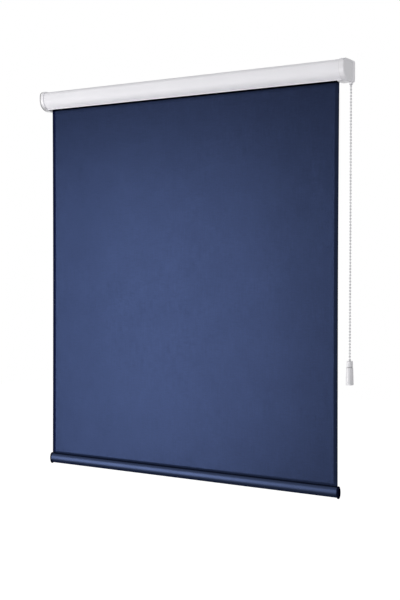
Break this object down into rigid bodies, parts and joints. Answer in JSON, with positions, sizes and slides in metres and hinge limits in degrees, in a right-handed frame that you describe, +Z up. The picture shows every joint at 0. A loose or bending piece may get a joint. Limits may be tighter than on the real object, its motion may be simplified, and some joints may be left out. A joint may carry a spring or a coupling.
{
  "type": "cassette roller blind",
  "caption": "Blackout roller blind in a slim wall cassette: a bead chain with a weight turns the roller, which winds up the cloth and its oval bottom bar.",
  "frame": {"origin": "centre of the flat rear face of the back rail, which goes against the wall", "axes": "+Z up, +X along the roller to the chain's end, +Y into the wall"},
  "size_m": [0.8028, 0.044, 0.8414],
  "materials": {
    "coated_aluminium": "satin white coating",
    "white_plastic": "satin",
    "bearing_plastic": "natural",
    "zinc_steel": "zinc plated",
    "mill_aluminium": "mill finish",
    "navy_cloth": "plain woven blackout cloth",
    "navy_aluminium": "satin navy coating",
    "dark_plastic": "satin",
    "bead_chain": "moulded"
  },
  "bodies": {
    "cassette": {"back_rail": "coated_aluminium", "front_fascia": "coated_aluminium", "left_end_cap": "white_plastic", "right_end_cap": "white_plastic", "left_side_plate": "zinc_steel", "right_side_plate": "zinc_steel", "left_plate_screw": "zinc_steel", "right_plate_screw": "zinc_steel", "clutch_core": "bearing_plastic", "idle_bush": "bearing_plastic", "chain_wrap": "bead_chain"},
    "blind": {"fabric_sheet": "navy_cloth", "bottom_bar": "navy_aluminium", "hem_rod": "white_plastic", "left_bar_cap": "dark_plastic", "right_bar_cap": "dark_plastic"},
    "roller": {"roller_tube": "mill_aluminium", "fabric_clamp_strip": "white_plastic", "fabric_roll": "navy_cloth", "drive_hub": "bearing_plastic", "wrap_spring_inner": "zinc_steel", "wrap_spring_outer": "zinc_steel", "idle_plug": "bearing_plastic", "idle_spring": "zinc_steel"},
    "chain_wheel": {"chain_wheel": "bearing_plastic"},
    "idle_pin": {"idle_pin": "zinc_steel"},
    "pull_chain": {"chain_run_front": "bead_chain", "chain_run_rear": "bead_chain", "chain_turn": "bead_chain", "weight_collar": "white_plastic", "weight_body": "white_plastic", "weight_peg": "zinc_steel"}
  },
  "joints": [
    {"name": "blind_lift", "type": "slide", "parent": "cassette", "child": "blind", "axis": [0, 0, 1], "range_m": [0, 0.765], "deforming": ["fabric_sheet"]},
    {"name": "roller_turn", "type": "hinge", "parent": "cassette", "child": "roller", "pos_m": [0, -0.0275, 0.00675], "axis": [1, 0, 0], "range_deg": [0, 3912]},
    {"name": "chain_wheel_turn", "type": "hinge", "parent": "cassette", "child": "chain_wheel", "pos_m": [0.3924, -0.0275, 0.00675], "axis": [1, 0, 0], "range_deg": [0, 3912]},
    {"name": "idle_pin_push", "type": "slide", "parent": "roller", "child": "idle_pin", "axis": [1, 0, 0], "range_m": [0, 0.0075], "stiffness_N_per_m": 400, "springref_m": -0.008, "deforming": ["idle_spring"]},
    {"name": "chain_swing", "type": "hinge", "parent": "cassette", "child": "pull_chain", "pos_m": [0.39506, -0.00827, -0.02345], "axis": [-1, 0, 0], "range_deg": [0, 25]}
  ],
  "couplings": [
    {"joint": "roller_turn", "follows": "blind_lift", "rad_per_m": 89.2},
    {"joint": "chain_wheel_turn", "follows": "blind_lift", "rad_per_m": 89.2}
  ]
}
